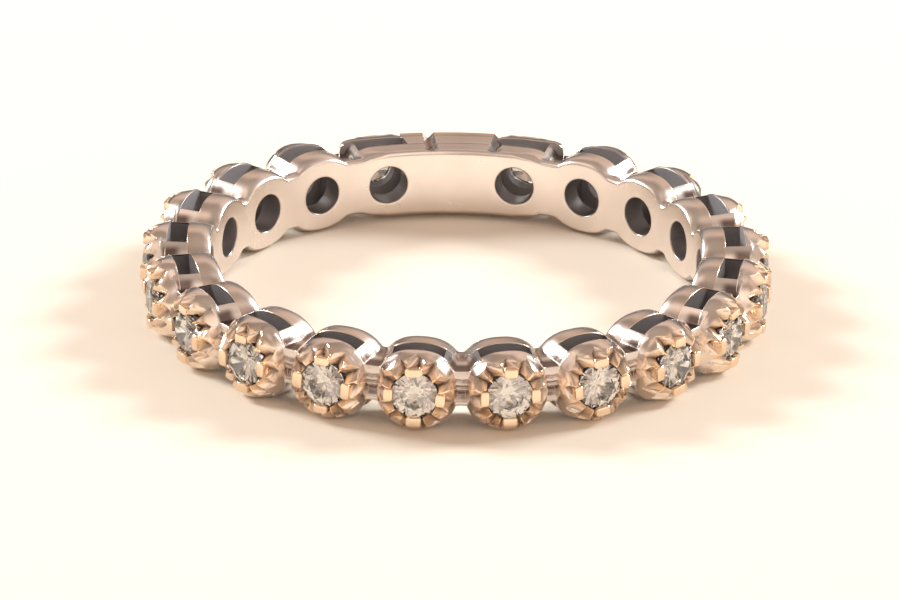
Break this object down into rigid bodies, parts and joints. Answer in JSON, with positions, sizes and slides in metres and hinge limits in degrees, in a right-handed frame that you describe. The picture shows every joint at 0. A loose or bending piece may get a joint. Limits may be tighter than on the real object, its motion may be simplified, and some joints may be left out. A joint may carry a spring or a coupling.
{
  "type": "eternity ring",
  "caption": "Full eternity finger ring of round domed stone heads with side windows, joined by low necks, each holding a small brilliant, with a plain sizing bar at the back.",
  "frame": {"origin": "centre of the finger hole, on the plane that the ring lies on", "axes": "+Z along the finger hole, up from the plane it lies on; +Y from the centre towards the middle of the sizing bar; +X to the right of that"},
  "size_m": [0.0218, 0.0217, 0.0028],
  "materials": {
    "ring_metal": "polished warm white gold",
    "diamond": "faceted clear stone"
  },
  "bodies": {
    "root": {"ring_mount": "ring_metal", "stone_01": "diamond", "stone_02": "diamond", "stone_03": "diamond", "stone_04": "diamond", "stone_05": "diamond", "stone_06": "diamond", "stone_07": "diamond", "stone_08": "diamond", "stone_09": "diamond", "stone_10": "diamond", "stone_11": "diamond", "stone_12": "diamond", "stone_13": "diamond", "stone_14": "diamond", "stone_15": "diamond", "stone_16": "diamond", "stone_17": "diamond", "stone_18": "diamond", "stone_19": "diamond", "stone_20": "diamond"}
  },
  "joints": []
}
